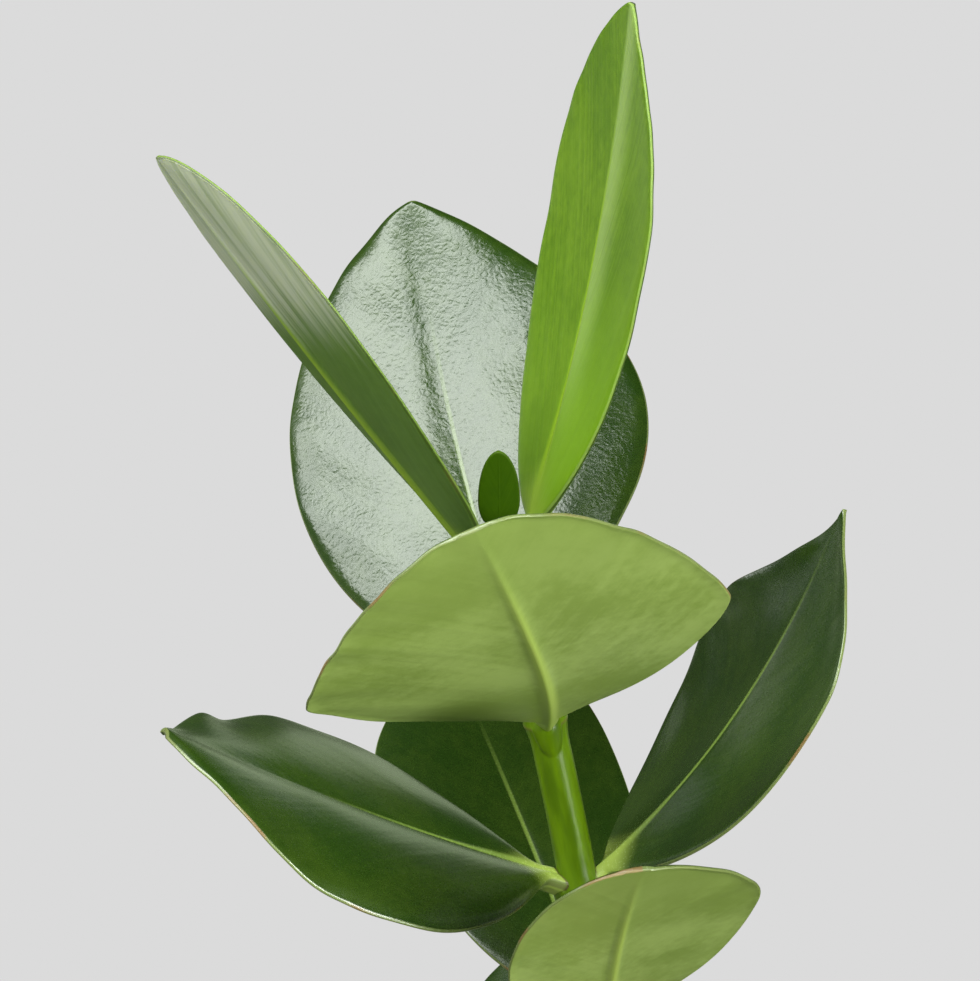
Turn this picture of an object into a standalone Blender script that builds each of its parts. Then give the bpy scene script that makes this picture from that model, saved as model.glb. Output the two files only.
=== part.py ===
"""A young clusia in a clay pot: one leaning stem with opposite pairs of thick, leathery leaves.

Metres, +Z up. The origin is the centre of the pot's flat base, and the plant is seen from -Y.
"""

import math
from collections import namedtuple

import bmesh
import bpy
import numpy as np

# Driving dimensions of the pot and the soil
POT_HEIGHT = 0.125
POT_BASE_RADIUS = 0.048
POT_TOP_RADIUS = 0.067
POT_INNER_FOOT = 0.044
POT_INNER_TOP = 0.064
POT_FLOOR = 0.007
RIM_HEIGHT = 0.024
RIM_STEP = 0.004
RIM_DRAFT = 0.001
EDGE_ROUND = 0.0015
SOIL_LEVEL = 0.112
SOIL_MOUND = 0.004
POT_SIDES = 48
TURN_MERGE = 0.00005

# The soil's surface, as shares of its radius and of the mound's height below the middle
SOIL_SURFACE = ((0.0, 0.0), (0.45, 0.3), (0.80, 1.0), (1.0, 0.8))

# Driving dimensions of the stem
STEM_FOOT = 0.075
STEM_TOP = 0.391
STEM_BASE_RADIUS = 0.0052
STEM_MIDDLE_RADIUS = 0.0043
STEM_TIP_RADIUS = 0.0021
STEM_SLIM_FROM = 0.345
STEM_LEAN = 0.46
JOINT_SWELL = 0.0007
JOINT_SPREAD = 0.0035
STEM_SIDES_RESOLUTION = 4
STEM_STEP = 0.007
STEM_WELD = 0.00001

# Heights of the leaf joints on the stem, from the oldest, which only bears scars, to the tip
JOINT_SCARRED = 0.152
JOINT_BOTTOM = 0.187
JOINT_LOW = 0.224
JOINT_LOWER = 0.263
JOINT_MIDDLE = 0.299
JOINT_UPPER = 0.341
JOINT_TOP = 0.376
JOINT_TIP = 0.386
JOINTS = (JOINT_SCARRED, JOINT_BOTTOM, JOINT_LOW, JOINT_LOWER, JOINT_MIDDLE, JOINT_UPPER, JOINT_TOP)

# What all leaves share
GAP = 0.0003
PETIOLE_RADIUS = 0.0032
PETIOLE_REACH = 0.013
PETIOLE_CROWN = 0.45
PETIOLE_KEEL = 0.75
ROOT_RUN = 0.012
ROOT_RISE = 40.0
BLADE_THICKNESS = 0.0011
MARGIN_THICKNESS = 0.0008
RIB_DEPTH = 0.0026
RIB_WIDTH = 0.0024
RIB_FADE = 0.8
RIB_SPREAD = 1.2
RIB_NARROWING = 0.7
FOLD_AT_BASE = 1.4
FOLD_LOSS = 1.2
DENT_LENGTH = 0.07
TIP_TURN_FROM = 0.65
FULL_LENGTH = 0.1
FULL_WIDTH = 0.06

# How finely a leaf is divided along its rib and across it
PATH_STEPS = 24
STATIONS = 20
STATION_CROWDING = 0.09
COLUMNS = 10
COLUMN_CROWDING = 1.5
TIP_STATION = 0.985

GREEN_DARK = (0.035, 0.075, 0.020)
GREEN_BRIGHT = (0.13, 0.30, 0.012)
GREEN_STEM = (0.11, 0.20, 0.010)
SOIL_BROWN = (0.030, 0.019, 0.012)
CLAY = (0.42, 0.17, 0.085)

# One leaf. Angles are in degrees. heading: compass direction of the petiole, 0 at +X and 90 at +Y.
# rise: angle above level, gaining bend by the tip. sweep: sideways curve of the rib. roll: turn of the
# blade about its rib, gaining twist by the tip, and tip_turn more in its outermost part. fold: lift of
# each half from the rib. curl: arch across. widest: place of the widest point. base and tip: how blunt
# each end is. lopsided: extra on the left half. skew: how much further out the left half is widest.
# base_skew and tip_skew: extra bluntness on the left. corner: 2 for a smooth outline at the widest
# point, less for a cornered one. reach: length of the petiole. dent: lift of one edge, with its place
# along the blade and its side, 1 for left and -1 for right.
Leaf = namedtuple(
    "Leaf",
    "joint heading rise bend sweep roll twist fold curl length width widest base tip lopsided skew "
    "base_skew tip_skew corner reach tip_turn dent dent_place dent_side green",
    defaults=(0.0, 0.0, 0.0, 0.0, 2.0, PETIOLE_REACH, 0.0, 0.0, 0.85, -1, GREEN_DARK),
)

LEAVES = {
    "leaf_tip_front": Leaf(
        joint=JOINT_TIP, heading=-88, rise=75, bend=0, sweep=-6, roll=4, twist=0, fold=0, curl=-0.02,
        length=0.0240, width=0.0092, widest=0.40, base=0.4, tip=0.5, green=GREEN_BRIGHT),
    "leaf_tip_back": Leaf(
        joint=JOINT_TIP, heading=96, rise=76, bend=0, sweep=0, roll=-4, twist=0, fold=0, curl=-0.02,
        length=0.0160, width=0.0072, widest=0.53, base=0.7, tip=0.6, green=GREEN_BRIGHT),
    "leaf_top_left": Leaf(
        joint=JOINT_TOP, heading=196, rise=52, bend=2, sweep=-17, roll=9, twist=16, fold=-4, curl=0.13,
        length=0.124, width=0.066, widest=0.60, base=0.67, tip=0.59, reach=0.011, green=GREEN_BRIGHT),
    "leaf_top_right": Leaf(
        joint=JOINT_TOP, heading=40, rise=68, bend=17, sweep=-10, roll=-16, twist=1, fold=-2, curl=0.06,
        length=0.130, width=0.062, widest=0.63, base=0.65, tip=0.85, skew=0.01, base_skew=-0.10,
        tip_skew=-0.10, green=GREEN_BRIGHT),
    "leaf_upper_front": Leaf(
        joint=JOINT_UPPER, heading=-87, rise=29, bend=16, sweep=-22, roll=6, twist=27, fold=0, curl=0.01,
        length=0.147, width=0.091, widest=0.50, base=0.70, tip=0.50, lopsided=-0.07, skew=-0.03,
        base_skew=0.10, corner=1.3, reach=0.011),
    "leaf_upper_back": Leaf(
        joint=JOINT_UPPER, heading=109, rise=24, bend=30, sweep=-6, roll=-28, twist=9, fold=5, curl=-0.23,
        length=0.144, width=0.086, widest=0.53, base=1.05, tip=0.85, lopsided=-0.05, base_skew=-0.15,
        tip_skew=-0.05),
    "leaf_middle_left": Leaf(
        joint=JOINT_MIDDLE, heading=204, rise=26, bend=5, sweep=-10, roll=-15, twist=9, fold=12,
        curl=-0.25, length=0.110, width=0.080, widest=0.52, base=1.20, tip=0.67, lopsided=-0.02,
        skew=-0.05, base_skew=-0.15, tip_skew=-0.11, reach=0.009, tip_turn=18, dent=0.14,
        dent_place=0.845, dent_side=-1),
    "leaf_middle_right": Leaf(
        joint=JOINT_MIDDLE, heading=-9, rise=45, bend=25, sweep=28, roll=17, twist=-13, fold=-19,
        curl=0.31, length=0.109, width=0.068, widest=0.59, base=0.60, tip=1.55, lopsided=-0.08,
        skew=-0.09, base_skew=-0.25, tip_skew=0.15, reach=0.008, dent=0.06, dent_place=0.70,
        dent_side=1),
    "leaf_lower_front": Leaf(
        joint=JOINT_LOWER, heading=-91, rise=42, bend=1, sweep=9, roll=20, twist=-13, fold=-3, curl=0.0,
        length=0.122, width=0.055, widest=0.61, base=0.65, tip=0.55, lopsided=0.10, skew=0.04,
        base_skew=-0.05, tip_skew=0.15),
    "leaf_lower_back": Leaf(
        joint=JOINT_LOWER, heading=107, rise=24, bend=-1, sweep=3, roll=-9, twist=2, fold=7, curl=-0.04,
        length=0.124, width=0.058, widest=0.65, base=0.40, tip=0.55, lopsided=0.03, tip_skew=0.30),
    "leaf_low_left": Leaf(
        joint=JOINT_LOW, heading=200, rise=20, bend=-8, sweep=6, roll=-6, twist=6, fold=4, curl=-0.08,
        length=0.118, width=0.070, widest=0.62, base=0.85, tip=0.65, lopsided=0.04, dent=0.07,
        dent_place=0.72, dent_side=1),
    "leaf_low_right": Leaf(
        joint=JOINT_LOW, heading=-14, rise=24, bend=-10, sweep=-8, roll=5, twist=-8, fold=5, curl=-0.06,
        length=0.116, width=0.072, widest=0.60, base=0.90, tip=0.62, tip_turn=-9),
    "leaf_bottom_front": Leaf(
        joint=JOINT_BOTTOM, heading=-82, rise=26, bend=-16, sweep=8, roll=4, twist=6, fold=5, curl=-0.10,
        length=0.108, width=0.066, widest=0.61, base=0.85, tip=0.60, lopsided=0.03),
    "leaf_bottom_back": Leaf(
        joint=JOINT_BOTTOM, heading=109, rise=24, bend=-3, sweep=-5, roll=-26, twist=-5, fold=-1,
        curl=-0.20, length=0.115, width=0.078, widest=0.60, base=0.90, tip=0.75),
}


# The stem's line and thickness
def stem_centre(height):
    """A point of the stem's middle line, which leans further to -X as it rises."""
    above = max(height - SOIL_LEVEL, 0.0)
    return np.array([-STEM_LEAN * above**2, 0.0, height])


def stem_radius(height):
    if height < STEM_SLIM_FROM:
        share = (height - STEM_FOOT) / (STEM_SLIM_FROM - STEM_FOOT)
        radius = STEM_BASE_RADIUS + (STEM_MIDDLE_RADIUS - STEM_BASE_RADIUS) * share
    else:
        share = (height - STEM_SLIM_FROM) / (STEM_TOP - STEM_SLIM_FROM)
        radius = STEM_MIDDLE_RADIUS + (STEM_TIP_RADIUS - STEM_MIDDLE_RADIUS) * share
    swell = sum(math.exp(-(((height - joint) / JOINT_SPREAD) ** 2)) for joint in JOINTS)
    return radius + JOINT_SWELL * swell


def stem_heights():
    """Heights at even steps along the stem, with one at each joint and one a little above and below it."""
    count = round((STEM_TOP - STEM_FOOT) / STEM_STEP)
    even = [STEM_FOOT + (STEM_TOP - STEM_FOOT) * i / count for i in range(count + 1)]
    near = [joint + side * JOINT_SPREAD for joint in JOINTS for side in (-1, 0, 1)]
    clear = [z for z in even if all(abs(z - other) > STEM_STEP / 3 for other in near)]
    return sorted(set(clear + near + [STEM_FOOT, STEM_TOP]))


# A leaf's form
def eased(share):
    """Goes smoothly from 0 to 1 as the share does, and stays level outside that."""
    share = min(max(share, 0.0), 1.0)
    return share * share * (3 - 2 * share)


def half_width(leaf, along, side):
    """The blade's half width at a share of its length, on the left (+1) or right (-1)."""
    widest = leaf.widest + side * leaf.skew
    if along < widest:
        share, bluntness = 1 - along / widest, leaf.base + side * leaf.base_skew
    else:
        share, bluntness = (along - widest) / (1 - widest), leaf.tip + side * leaf.tip_skew
    outline = max(1 - abs(share) ** leaf.corner, 0.0) ** bluntness
    return leaf.width / 2 * outline * (1 + side * leaf.lopsided)


def rib_direction(leaf, share):
    """Unit direction of the rib at a share of the leaf's length, easing out of the stem at its root."""
    ease = eased(share * leaf.length / ROOT_RUN)
    root = min(ROOT_RISE, leaf.rise)
    rise = math.radians(root + (leaf.rise + leaf.bend * share - root) * ease)
    heading = math.radians(leaf.heading + leaf.sweep * share)
    level = math.cos(rise)
    return np.array([level * math.cos(heading), level * math.sin(heading), math.sin(rise)])


def rib_point(leaf, share):
    """A point of the rib, by adding up short steps along its direction from the stem's middle line."""
    steps = [rib_direction(leaf, share * (i + 0.5) / PATH_STEPS) for i in range(PATH_STEPS)]
    return stem_centre(leaf.joint) + leaf.length * share * np.mean(steps, axis=0)


def blade_axes(leaf, share):
    """The directions to the leaf's left and out of its upper face."""
    along = rib_direction(leaf, share)
    heading = math.radians(leaf.heading + leaf.sweep * share)
    left = np.array([-math.sin(heading), math.cos(heading), 0.0])
    upper = np.cross(along, left)
    late = eased((share - TIP_TURN_FROM) / (1 - TIP_TURN_FROM))
    turn = math.radians(leaf.roll + leaf.twist * share + leaf.tip_turn * late)
    return (
        math.cos(turn) * left + math.sin(turn) * upper,
        math.cos(turn) * upper - math.sin(turn) * left,
    )


def edge_lift(leaf, blade_share, side, half):
    """How far the margin lies above the level of the rib's two halves: an arch across, and a dent."""
    lift = half * leaf.curl
    if side == leaf.dent_side:
        near = (blade_share - leaf.dent_place) / DENT_LENGTH
        lift += leaf.width / 2 * leaf.dent * math.exp(-(near**2))
    return lift


def section(leaf, share, across):
    """The upper and lower points of one cross-section, for places across it from -1 (right) to 1 (left)."""
    reach = leaf.reach / leaf.length * min(leaf.length / FULL_LENGTH, 1.0)
    blade_share = max((share - reach) / (1 - reach), 0.0)
    small = min(leaf.width / FULL_WIDTH, 1.0)
    petiole = PETIOLE_RADIUS * small**0.5 * (1 - share) ** 2
    rib_depth = RIB_DEPTH * small * (1 - RIB_FADE * share) * (1 - share**4)
    rib_width = RIB_WIDTH * small * (RIB_SPREAD - RIB_NARROWING * share)
    fold = math.radians(leaf.fold * (FOLD_AT_BASE - FOLD_LOSS * blade_share))
    centre = rib_point(leaf, share)
    left, upper = blade_axes(leaf, share)
    top, bottom = [], []
    for place in across:
        side = 1 if place > 0 else -1
        blade = half_width(leaf, blade_share, side)
        out = math.hypot(petiole, blade) * place
        lift = abs(out) * math.sin(fold) + place**2 * edge_lift(leaf, blade_share, side, blade)
        middle = centre + left * out * math.cos(fold) + upper * lift
        body = BLADE_THICKNESS + (MARGIN_THICKNESS - BLADE_THICKNESS) * place**2
        rounded = petiole * math.sqrt(max(1 - place**2, 0.0))
        keel = max(rib_depth * math.exp(-((out / rib_width) ** 2)), PETIOLE_KEEL * rounded)
        top.append(middle + upper * (body / 2 + PETIOLE_CROWN * rounded))
        bottom.append(middle - upper * (body / 2 + keel))
    return top, bottom


def places_across():
    """Places across the blade, closer together near the rib."""
    even = [2 * i / COLUMNS - 1 for i in range(COLUMNS + 1)]
    return [math.copysign(abs(v) ** COLUMN_CROWDING, v) for v in even]


def station_shares():
    """Shares of the length where the sections lie, closer together near the base and the tip."""
    even = [i / (STATIONS - 1) for i in range(STATIONS)]
    return [TIP_STATION * (v - STATION_CROWDING * math.sin(2 * math.pi * v)) for v in even]


def leaf_mesh(name, leaf):
    """A closed loft from the round petiole to the thin blade, with both faces split into like triangles."""
    across = places_across()
    shaped = bmesh.new()
    rings = []
    for share in station_shares():
        top, bottom = section(leaf, share, across)
        rings.append(([shaped.verts.new(p) for p in top], [shaped.verts.new(p) for p in bottom]))
    tip_top, tip_bottom = section(leaf, 1.0, [0.0])
    apex = shaped.verts.new((tip_top[0] + tip_bottom[0]) / 2)
    for (top_a, bottom_a), (top_b, bottom_b) in zip(rings, rings[1:]):
        for j in range(COLUMNS):
            shaped.faces.new((top_a[j], top_b[j], top_b[j + 1]))
            shaped.faces.new((top_a[j], top_b[j + 1], top_a[j + 1]))
            shaped.faces.new((bottom_a[j], bottom_b[j + 1], bottom_b[j]))
            shaped.faces.new((bottom_a[j], bottom_a[j + 1], bottom_b[j + 1]))
        shaped.faces.new((top_a[0], bottom_a[0], bottom_b[0], top_b[0]))
        shaped.faces.new((top_a[-1], top_b[-1], bottom_b[-1], bottom_a[-1]))
    first_top, first_bottom = rings[0]
    for j in range(COLUMNS):
        shaped.faces.new((first_top[j], first_top[j + 1], first_bottom[j + 1], first_bottom[j]))
    last_top, last_bottom = rings[-1]
    for j in range(COLUMNS):
        shaped.faces.new((last_top[j], apex, last_top[j + 1]))
        shaped.faces.new((last_bottom[j + 1], apex, last_bottom[j]))
    shaped.faces.new((last_top[0], last_bottom[0], apex))
    shaped.faces.new((last_bottom[-1], last_top[-1], apex))
    bmesh.ops.recalc_face_normals(shaped, faces=shaped.faces)
    mesh = bpy.data.meshes.new(name)
    shaped.to_mesh(mesh)
    shaped.free()
    mesh.shade_smooth()
    return mesh


# Blender helpers
def finish_of(name, colour, roughness, metallic=0.0):
    material = bpy.data.materials.new(name)
    material.use_nodes = True
    surface = material.node_tree.nodes["Principled BSDF"]
    surface.inputs["Base Color"].default_value = (*colour, 1.0)
    surface.inputs["Roughness"].default_value = roughness
    surface.inputs["Metallic"].default_value = metallic
    return material


def placed(name, data, collection, material=None):
    made = bpy.data.objects.new(name, data)
    collection.objects.link(made)
    if material:
        data.materials.append(material)
    return made


def turned(name, profile, collection, material):
    """A solid turned about +Z from (radius, height) points that run from the axis, out, down and back to it."""
    mesh = bpy.data.meshes.new(name)
    points = [(radius, 0.0, height) for radius, height in profile]
    mesh.from_pydata(points, [(i, i + 1) for i in range(len(points) - 1)], [])
    made = placed(name, mesh, collection, material)
    screw = made.modifiers.new("Turn", "SCREW")
    screw.steps = POT_SIDES
    screw.render_steps = POT_SIDES
    screw.use_merge_vertices = True
    screw.merge_threshold = TURN_MERGE
    screw.use_smooth_shade = True
    return made


def cut(piece, cutter):
    away = piece.modifiers.new("Seat", "BOOLEAN")
    away.operation = "DIFFERENCE"
    away.object = cutter
    return away


# The pieces
def inner_radius(height):
    """The pot's inner radius at a height."""
    share = (height - POT_FLOOR) / (POT_HEIGHT - EDGE_ROUND - POT_FLOOR)
    return POT_INNER_FOOT + (POT_INNER_TOP - POT_INNER_FOOT) * share


def make_pot(collection):
    """A plain tapered pot with a rim band, closed below, so that its base is one flat face."""
    band = POT_TOP_RADIUS + RIM_STEP
    band_foot = POT_HEIGHT - RIM_HEIGHT
    profile = [
        (0.0, POT_FLOOR),
        (POT_INNER_FOOT, POT_FLOOR),
        (POT_INNER_TOP, POT_HEIGHT - EDGE_ROUND),
        (POT_INNER_TOP + EDGE_ROUND, POT_HEIGHT),
        (band - EDGE_ROUND, POT_HEIGHT),
        (band, POT_HEIGHT - EDGE_ROUND),
        (band - RIM_DRAFT, band_foot + EDGE_ROUND),
        (band - RIM_DRAFT - EDGE_ROUND, band_foot),
        (POT_TOP_RADIUS, band_foot),
        (POT_BASE_RADIUS, EDGE_ROUND),
        (POT_BASE_RADIUS - EDGE_ROUND, 0.0),
        (0.0, 0.0),
    ]
    return turned("pot", profile, collection, finish_of("clay", CLAY, 0.85))


def make_soil(collection, stem_cutter):
    """Potting soil that fills the pot to just below its rim, with a plain hole for the stem."""
    rim = inner_radius(SOIL_LEVEL) - 2 * GAP
    profile = [(rim * out, SOIL_LEVEL - SOIL_MOUND * below) for out, below in SOIL_SURFACE]
    profile += [(POT_INNER_FOOT - GAP, POT_FLOOR + GAP), (0.0, POT_FLOOR + GAP)]
    soil = turned("soil", profile, collection, finish_of("soil", SOIL_BROWN, 0.95))
    cut(soil, stem_cutter)
    return soil


def stem_curve(name, collection, grow=0.0):
    """The stem as a bevelled curve whose points carry its changing radius, grown by a clearance if asked."""
    curve = bpy.data.curves.new(name, "CURVE")
    curve.dimensions = "3D"
    curve.bevel_depth = STEM_MIDDLE_RADIUS
    curve.bevel_resolution = STEM_SIDES_RESOLUTION
    curve.use_fill_caps = True
    heights = stem_heights()
    heights[0] -= grow
    heights[-1] += grow
    line = curve.splines.new("POLY")
    line.points.add(len(heights) - 1)
    for point, height in zip(line.points, heights):
        point.co = (*stem_centre(height), 1.0)
        point.radius = (stem_radius(height) + grow) / STEM_MIDDLE_RADIUS
    line.use_smooth = True
    return placed(name, curve, collection)


def mesh_from_curve(source, collection):
    """A mesh object in place of a curve, with its caps welded on."""
    name = source.name
    graph = bpy.context.evaluated_depsgraph_get()
    mesh = bpy.data.meshes.new_from_object(source.evaluated_get(graph))
    bpy.data.objects.remove(source)
    shaped = bmesh.new()
    shaped.from_mesh(mesh)
    bmesh.ops.remove_doubles(shaped, verts=shaped.verts, dist=STEM_WELD)
    bmesh.ops.recalc_face_normals(shaped, faces=shaped.faces)
    shaped.to_mesh(mesh)
    shaped.free()
    return placed(name, mesh, collection)


def make_stem(collection):
    stem = stem_curve("stem", collection)
    stem.data.materials.append(finish_of("stem_green", GREEN_STEM, 0.4))
    return stem


def make_stem_cutter(collection):
    """The stem grown by the gap that touching pieces keep, to seat the leaves and the soil."""
    cutter = mesh_from_curve(stem_curve("stem_clearance", collection, grow=GAP), collection)
    cutter.hide_render = True
    cutter.display_type = "WIRE"
    return cutter


def make_leaf(name, leaf, collection, stem_cutter):
    made = placed(name, leaf_mesh(name, leaf), collection, finish_of(name + "_green", leaf.green, 0.35))
    cut(made, stem_cutter)
    return made


def main():
    for old in list(bpy.data.objects):
        bpy.data.objects.remove(old)
    plant = bpy.data.collections.new("potted_clusia")
    cutters = bpy.data.collections.new("cutters")
    for collection in (plant, cutters):
        bpy.context.scene.collection.children.link(collection)
    stem_cutter = make_stem_cutter(cutters)
    make_pot(plant)
    make_soil(plant, stem_cutter)
    make_stem(plant)
    for name, leaf in LEAVES.items():
        make_leaf(name, leaf, plant, stem_cutter)


main()
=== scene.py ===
"""Looks of the potted clusia: leathery leaves on a leaning green stem, soil and a clay pot."""

import math
from collections import namedtuple

import bpy
import numpy as np
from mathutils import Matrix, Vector


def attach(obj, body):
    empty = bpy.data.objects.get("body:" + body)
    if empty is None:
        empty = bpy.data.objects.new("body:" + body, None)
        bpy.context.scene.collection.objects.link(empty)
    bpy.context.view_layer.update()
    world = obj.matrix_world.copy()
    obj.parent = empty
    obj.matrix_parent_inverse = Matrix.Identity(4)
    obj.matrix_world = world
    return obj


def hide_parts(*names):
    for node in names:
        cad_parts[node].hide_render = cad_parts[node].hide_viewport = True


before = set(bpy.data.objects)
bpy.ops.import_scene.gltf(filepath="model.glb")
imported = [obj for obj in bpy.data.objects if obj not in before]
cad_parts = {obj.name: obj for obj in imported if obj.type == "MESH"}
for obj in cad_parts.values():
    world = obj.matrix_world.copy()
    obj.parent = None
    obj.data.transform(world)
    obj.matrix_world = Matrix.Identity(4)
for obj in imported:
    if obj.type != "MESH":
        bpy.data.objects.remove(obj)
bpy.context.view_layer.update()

# Camera, in the direction that the photograph looks, and the brightness behind the plant
LOOK_AT = (-0.0364, 0.0, 0.395)
LOOK_DOWN = 20.0
LOOK_FROM = 1.0
LENS = 166.8
BACKDROP = 0.708

# Pot
POT_HEIGHT = 0.125
POT_BASE_RADIUS = 0.048
POT_TOP_RADIUS = 0.067
POT_INNER_FOOT = 0.044
POT_INNER_TOP = 0.064
POT_FLOOR = 0.007
RIM_HEIGHT = 0.024
RIM_STEP = 0.004
RIM_DRAFT = 0.001
EDGE_ROUND = 0.0015
POT_SIDES = 144
WALL_RINGS = 26
BAND_RINGS = (0.2, 0.4, 0.6, 0.8)
THROW_MARK = 0.00006
SHARP_FROM = 30.0
SMOOTH_TO = 35.0
ROUNDING_STEPS = 5

# Soil
SOIL_LEVEL = 0.112
SOIL_MOUND = 0.004
SOIL_SURFACE = ((0.0, 0.0), (0.45, 0.3), (0.80, 1.0), (1.0, 0.8))
SOIL_CALM_EDGE = 0.004
SOIL_GRIT = 0.00035
SOIL_RINGS = 64
SOIL_SPOKES = 220
SOIL_FOOT_RING = 0.01
GAP = 0.0003

# Humps of the soil's surface: height, size and seed
SOIL_HUMPS = ((0.0009, 0.012, 21), (0.0005, 0.004, 22))

# What lies on the soil. shapes: how each kind of lump is stretched. smallest and largest: half its length.
Litter = namedtuple("Litter", "name lump shapes first_seed count smallest largest seed")
CRUMBS = Litter(
    "soil_crumbs", "crumb", ((1.0, 0.85, 0.7), (0.8, 1.0, 0.6), (1.0, 1.0, 0.8)), first_seed=3,
    count=900, smallest=0.0006, largest=0.0032, seed=41)
CHIPS = Litter(
    "bark_chips", "chip", ((1.0, 0.45, 0.18), (1.0, 0.30, 0.22)), first_seed=6,
    count=60, smallest=0.002, largest=0.007, seed=42)

# How far the lumps keep from the stem and the rim, how far they tilt in radians, how deep and how high
# they lie as a share of their size, and how far their corners are knocked out of place
LITTER_MARGIN = 0.001
LITTER_TILT = 0.4
LITTER_SUNK = -0.1
LITTER_RAISED = 0.35
LITTER_KNOCKED = 0.35

# Floor: a disc that fades out for the camera
FLOOR_RADIUS = 1.1
FLOOR_SIDES = 128
FADE_FROM = 0.18
FADE_TO = 0.40

# Stem
STEM_FOOT = 0.075
STEM_TOP = 0.391
STEM_BASE_RADIUS = 0.0052
STEM_MIDDLE_RADIUS = 0.0043
STEM_TIP_RADIUS = 0.0021
STEM_SLIM_FROM = 0.345
STEM_LEAN = 0.46
JOINT_SWELL = 0.0007
JOINT_SPREAD = 0.0035
STEM_RINGS = 640
STEM_SIDES = 72
STEM_WAVER = 0.012
STEM_WAVER_SIZE = 0.012
STEM_WAVER_TURN = 0.004

# Tongues under the petioles, rings at the joints, and the old leaf scars
PAD_DROP = 0.0022
PAD_WIDTH = 0.0036
PAD_HEIGHT = 0.0055
PAD_RISE = 0.0011
RING_DROP = 0.0008
RING_HEIGHT = 0.0006
RING_RISE = 0.0002
SCAR_HEADINGS = (200.0, -14.0)
SCAR_WIDTH = 0.0030
SCAR_HEIGHT = 0.0020
SCAR_DEPTH = 0.00035
SCAR_SLOPE = 0.3
SCAR_RIM = 0.0003
SCAR_RIM_WIDTH = 0.18

# Heights of the leaf joints
JOINT_SCARRED = 0.152
JOINT_BOTTOM = 0.187
JOINT_LOW = 0.224
JOINT_LOWER = 0.263
JOINT_MIDDLE = 0.299
JOINT_UPPER = 0.341
JOINT_TOP = 0.376
JOINT_TIP = 0.386
JOINTS = (JOINT_SCARRED, JOINT_BOTTOM, JOINT_LOW, JOINT_LOWER, JOINT_MIDDLE, JOINT_UPPER, JOINT_TOP)

# What all leaves share
PETIOLE_RADIUS = 0.0032
PETIOLE_REACH = 0.013
PETIOLE_CROWN = 0.45
PETIOLE_KEEL = 0.75
ROOT_RUN = 0.012
ROOT_RISE = 40.0
BLADE_THICKNESS = 0.0011
MARGIN_THICKNESS = 0.0008
RIB_DEPTH = 0.0026
RIB_WIDTH = 0.0024
RIB_FADE = 0.8
RIB_SPREAD = 1.2
RIB_NARROWING = 0.7
FOLD_AT_BASE = 1.4
FOLD_LOSS = 1.2
DENT_LENGTH = 0.07
TIP_TURN_FROM = 0.65
FULL_LENGTH = 0.1
FULL_WIDTH = 0.06
PATH_STEPS = 24
LEAF_STATIONS = 150
STATION_CROWDING = 0.09
LEAF_COLUMNS = 40
COLUMN_CROWDING = 1.5
MARGIN_COLUMNS = (0.95, 0.97, 0.985, 0.995)
TIP_STATION = 0.997

# A blade's own relief, and how much crisper its keel is than the plain one. It sets in past the petiole,
# and the groove in the rib comes and goes over shares of the blade.
KEEL_HEIGHTENED = 1.2
KEEL_NARROWED = 0.75
RELIEF_SETS_IN = 0.1
SWELL = 0.00020
SWELL_SIZE = 0.016
PLEAT_SIZE = 0.010
PLEAT_SHIFT = 0.05
PLEAT_SEED = 40
VALLEY_WIDTH = 0.0045
GROOVE = 0.0003
GROOVE_WIDTH = 0.4
GROOVE_COMES = 0.2
GROOVE_TO = 0.70
GROOVE_GOES = 0.35
ROLLED_BAND = 0.0030
ROLLED_DROP = 0.0005

# Brightness of the room that the plant reflects, where the backdrop's is BACKDROP
ROOM_CEILING = 0.03
ROOM_LEVEL = 0.10
ROOM_WALL = 0.95
ROOM_BELOW = 0.82
ROOM_TINT = (0.85, 1.0, 0.68)

# Where the mirrored room's parts begin and where they are full. Ceiling, ground and the wall's top go by
# height, from -1 straight below the plant to 1 straight above. The wall's two ends go by how far aside
# they are for how far back.
CEILING_SPAN = (0.25, 0.60)
GROUND_SPAN = (-0.10, -0.30)
WALL_TOP_SPAN = (0.45, 0.30)
WALL_NEAR_END = (0.09, 0.16)
WALL_FAR_END = (0.46, 0.30)
WALL_BACK_SPAN = (0.0, 0.2)

# Light panels. The brightness is in the same measure.
Panel = namedtuple("Panel", "name place aim width height brightness")
PANELS = (
    Panel("panel_above", (-0.875, -0.39, 1.6), (-0.875, -0.39, 0.38), 2.05, 0.46, 10.3),
    Panel("panel_above_front", (-0.89, -1.9, 1.7), (-0.30, -0.20, 0.38), 2.0, 0.80, 8.0),
    Panel("panel_above_left", (-1.06, 0.01, 1.6), (-1.06, 0.01, 0.38), 1.68, 0.34, 9.0),
    Panel("panel_far_left", (-1.9, 0.015, 1.12), (0.0, 0.015, 0.37), 0.73, 0.72, 8.0),
    Panel("panel_front_right", (0.875, -0.971, 0.86), (0.0, 0.0, 0.36), 0.5, 0.45, 24.5),
    Panel("panel_low_right", (0.77, -0.92, 0.12), (0.0, 0.0, 0.30), 0.8, 0.3, 11.5),
    Panel("panel_camera_side", (-0.2, -1.3, 0.9), (0.0, 0.0, 0.35), 1.0, 0.6, 1.2),
    Panel("panel_left", (-1.35, 0.55, 0.72), (0.0, 0.0, 0.36), 0.42, 0.34, 0.9),
)

# How one kind of leaf is coloured and finished. Each face is mottled from its own green to a deeper one.
# gloss: roughness of the upper face. shine: how strongly it mirrors. leather: how wrinkled it is, from 0 to
# 1. slant: how far a side vein runs along the rib for its way out. seep: how much light goes through the
# skin. The last sets how strongly the right half gets a band of painted sheen beside the rib and painted
# light shining through.
LeafLook = namedtuple(
    "LeafLook",
    "top top_deep below below_deep rib rib_below edge edge_below gloss shine leather slant seep bloom")

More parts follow.
